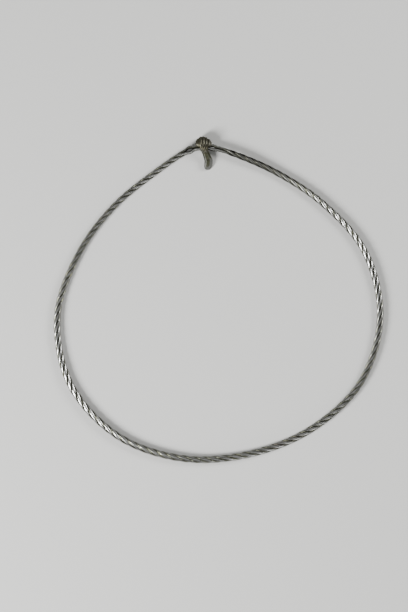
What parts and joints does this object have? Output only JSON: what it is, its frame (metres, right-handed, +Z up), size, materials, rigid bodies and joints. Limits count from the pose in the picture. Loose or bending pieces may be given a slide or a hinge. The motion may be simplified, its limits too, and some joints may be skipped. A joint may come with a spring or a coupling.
{
  "type": "twisted silver torc",
  "caption": "Slim neck ring of silver rods twisted into a rope, open at small eyes and closed by a forged hook with a ribbed knob and a thick bevelled tail.",
  "frame": {"origin": "middle of the ring's outline on the surface that it lies on", "axes": "+Z up out of the surface, +Y from the middle of the ring to the clasp, +X to the right as seen from above"},
  "size_m": [0.1813, 0.1799, 0.0072],
  "materials": {
    "rod_silver": "tarnished twisted silver rod, bright on the crests and dark in the grooves",
    "hook_silver": "hammered tarnished silver, worn smooth on the tail"
  },
  "bodies": {
    "root": {"twisted_rod_1": "rod_silver", "twisted_rod_2": "rod_silver", "twisted_rod_3": "rod_silver", "twisted_rod_4": "rod_silver", "clasp_hook": "hook_silver"}
  },
  "joints": []
}
